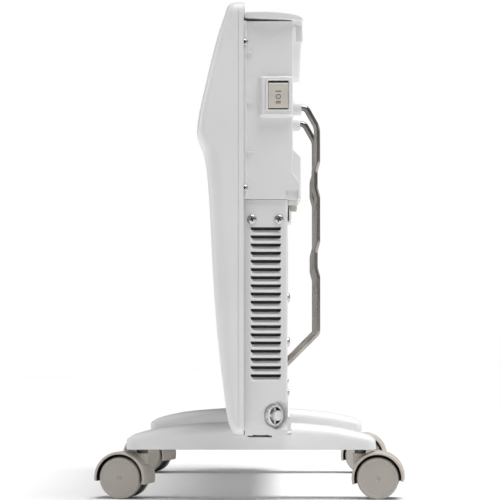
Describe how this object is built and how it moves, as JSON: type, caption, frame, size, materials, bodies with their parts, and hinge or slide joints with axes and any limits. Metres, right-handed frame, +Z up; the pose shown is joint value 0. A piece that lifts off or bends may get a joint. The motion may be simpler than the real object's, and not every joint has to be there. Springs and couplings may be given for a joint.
{
  "type": "panel heater",
  "caption": "Slim upright electric panel heater with a slotted front grille, louvred ends, rear rods and two bowed feet on swivelling twin-wheel castors.",
  "frame": {"origin": "middle of the footprint on the floor, under the wheels", "axes": "+X along the width towards the end with the controls, -Y the front, +Z up"},
  "size_m": [0.618, 0.3116, 0.487],
  "materials": {
    "white_plastic": "satin moulded",
    "white_paint": "satin powder coat",
    "grille_paint": "satin powder coat",
    "rocker_plastic": "satin moulded",
    "dark_plastic": "matt",
    "chrome": "plated",
    "zinc_steel": "zinc plated",
    "dark_steel": "blackened",
    "mica_board": "matt mica laminate",
    "bright_sheet": "bright rolled",
    "grey_plastic": "fine moulded grain"
  },
  "bodies": {
    "case": {"bottom_panel": "white_paint", "control_housing": "white_plastic", "cord_gland": "rocker_plastic", "front_bezel": "white_plastic", "front_grille": "grille_paint", "heat_reflector": "bright_sheet", "housing_screw_lower": "zinc_steel", "housing_screw_upper": "zinc_steel", "left_end_housing": "white_plastic", "left_foot": "white_plastic", "left_foot_bolt": "zinc_steel", "left_heating_panel": "mica_board", "left_rear_rod": "chrome", "left_rod_collar": "white_plastic", "left_side_panel": "white_paint", "lower_element_rail": "bright_sheet", "rear_panel": "white_paint", "rear_screw_lower_left": "zinc_steel", "rear_screw_lower_right": "zinc_steel", "rear_screw_middle": "zinc_steel", "rear_screw_upper": "zinc_steel", "right_foot": "white_plastic", "right_foot_bolt": "zinc_steel", "right_heating_panel": "mica_board", "right_rear_rod": "chrome", "right_rod_collar": "white_plastic", "right_side_panel": "white_paint", "side_screw_front": "zinc_steel", "side_screw_rear": "zinc_steel", "switch_bezel": "rocker_plastic", "switch_body": "dark_plastic", "terminal_block": "white_plastic", "thermal_cutout": "dark_plastic", "thermostat_body": "dark_plastic", "thermostat_dial": "white_plastic", "tip_over_switch": "dark_plastic", "top_cap": "white_plastic", "upper_element_rail": "bright_sheet"},
    "rocker": {"switch_rocker": "rocker_plastic"},
    "knob": {"thermostat_knob": "white_plastic"},
    "right_front_castor": {"right_front_castor_hood": "grey_plastic", "right_front_castor_stem": "dark_steel", "right_front_castor_axle": "dark_steel"},
    "right_front_outboard": {"right_front_outboard_wheel": "grey_plastic"},
    "right_front_inboard": {"right_front_inboard_wheel": "grey_plastic"},
    "right_rear_castor": {"right_rear_castor_hood": "grey_plastic", "right_rear_castor_stem": "dark_steel", "right_rear_castor_axle": "dark_steel"},
    "right_rear_outboard": {"right_rear_outboard_wheel": "grey_plastic"},
    "right_rear_inboard": {"right_rear_inboard_wheel": "grey_plastic"},
    "left_front_castor": {"left_front_castor_hood": "grey_plastic", "left_front_castor_stem": "dark_steel", "left_front_castor_axle": "dark_steel"},
    "left_front_outboard": {"left_front_outboard_wheel": "grey_plastic"},
    "left_front_inboard": {"left_front_inboard_wheel": "grey_plastic"},
    "left_rear_castor": {"left_rear_castor_hood": "grey_plastic", "left_rear_castor_stem": "dark_steel", "left_rear_castor_axle": "dark_steel"},
    "left_rear_outboard": {"left_rear_outboard_wheel": "grey_plastic"},
    "left_rear_inboard": {"left_rear_inboard_wheel": "grey_plastic"}
  },
  "joints": [
    {"name": "rocker_tilt", "type": "hinge", "parent": "case", "child": "rocker", "pos_m": [0.3045, 0.02873, 0.3955], "axis": [0, 1, 0], "range_deg": [-10, 10]},
    {"name": "thermostat_turn", "type": "hinge", "parent": "case", "child": "knob", "pos_m": [0.2916, 0.02633, 0.0846], "axis": [0.7071, 0.7071, 0], "range_deg": [0, 270]},
    {"name": "right_front_swivel", "type": "hinge", "parent": "case", "child": "right_front_castor", "pos_m": [0.225, -0.10747, 0.0492], "axis": [0, 0, 1], "continuous": true},
    {"name": "right_front_outboard_spin", "type": "hinge", "parent": "right_front_castor", "child": "right_front_outboard", "pos_m": [0.22126, -0.12508, 0.0209], "axis": [0.9781, -0.2079, 0], "continuous": true},
    {"name": "right_front_inboard_spin", "type": "hinge", "parent": "right_front_castor", "child": "right_front_inboard", "pos_m": [0.22126, -0.12508, 0.0209], "axis": [0.9781, -0.2079, 0], "continuous": true},
    {"name": "right_rear_swivel", "type": "hinge", "parent": "case", "child": "right_rear_castor", "pos_m": [0.225, 0.11013, 0.0492], "axis": [0, 0, 1], "continuous": true},
    {"name": "right_rear_outboard_spin", "type": "hinge", "parent": "right_rear_castor", "child": "right_rear_outboard", "pos_m": [0.22626, 0.12808, 0.0209], "axis": [0.9976, -0.0698, 0], "continuous": true},
    {"name": "right_rear_inboard_spin", "type": "hinge", "parent": "right_rear_castor", "child": "right_rear_inboard", "pos_m": [0.22626, 0.12808, 0.0209], "axis": [0.9976, -0.0698, 0], "continuous": true},
    {"name": "left_front_swivel", "type": "hinge", "parent": "case", "child": "left_front_castor", "pos_m": [-0.225, -0.10747, 0.0492], "axis": [0, 0, 1], "continuous": true},
    {"name": "left_front_outboard_spin", "type": "hinge", "parent": "left_front_castor", "child": "left_front_outboard", "pos_m": [-0.23026, -0.12468, 0.0209], "axis": [0.9563, -0.2924, 0], "continuous": true},
    {"name": "left_front_inboard_spin", "type": "hinge", "parent": "left_front_castor", "child": "left_front_inboard", "pos_m": [-0.23026, -0.12468, 0.0209], "axis": [0.9563, -0.2924, 0], "continuous": true},
    {"name": "left_rear_swivel", "type": "hinge", "parent": "case", "child": "left_rear_castor", "pos_m": [-0.225, 0.11013, 0.0492], "axis": [0, 0, 1], "continuous": true},
    {"name": "left_rear_outboard_spin", "type": "hinge", "parent": "left_rear_castor", "child": "left_rear_outboard", "pos_m": [-0.22343, 0.12806, 0.0209], "axis": [0.9962, -0.0872, 0], "continuous": true},
    {"name": "left_rear_inboard_spin", "type": "hinge", "parent": "left_rear_castor", "child": "left_rear_inboard", "pos_m": [-0.22343, 0.12806, 0.0209], "axis": [0.9962, -0.0872, 0], "continuous": true}
  ]
}
